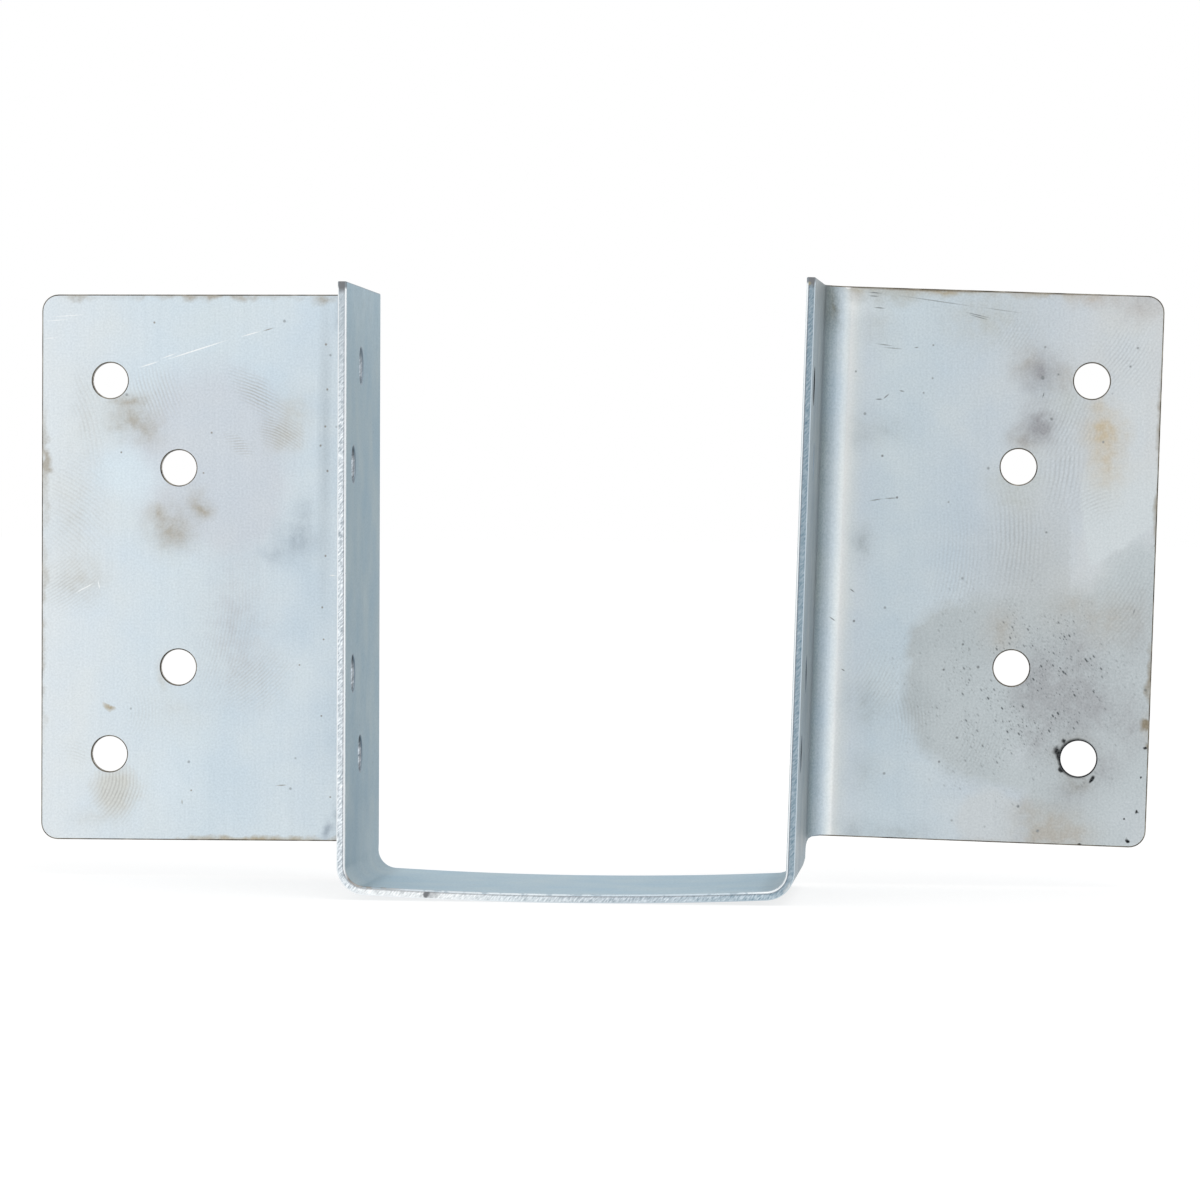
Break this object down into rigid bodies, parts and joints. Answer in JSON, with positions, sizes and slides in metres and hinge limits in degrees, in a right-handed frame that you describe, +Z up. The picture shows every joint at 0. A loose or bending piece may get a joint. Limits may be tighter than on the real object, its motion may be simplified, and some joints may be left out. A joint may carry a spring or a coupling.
{
  "type": "joist hanger",
  "caption": "Folded galvanised steel joist hanger: a U-shaped stirrup whose rear edges bend out into flat drilled flanges for fixing to a beam.",
  "frame": {"origin": "where the pocket's centre line meets the plane of the flanges' backs, level with the seat's lowest line", "axes": "+X to the right seen from the joist, +Y into the carrying beam, +Z up"},
  "size_m": [0.2694, 0.078, 0.1433],
  "materials": {
    "zinc_sheet": "bright galvanised sheet with handling marks, sheared edges"
  },
  "bodies": {
    "root": {"hanger": "zinc_sheet"}
  },
  "joints": []
}
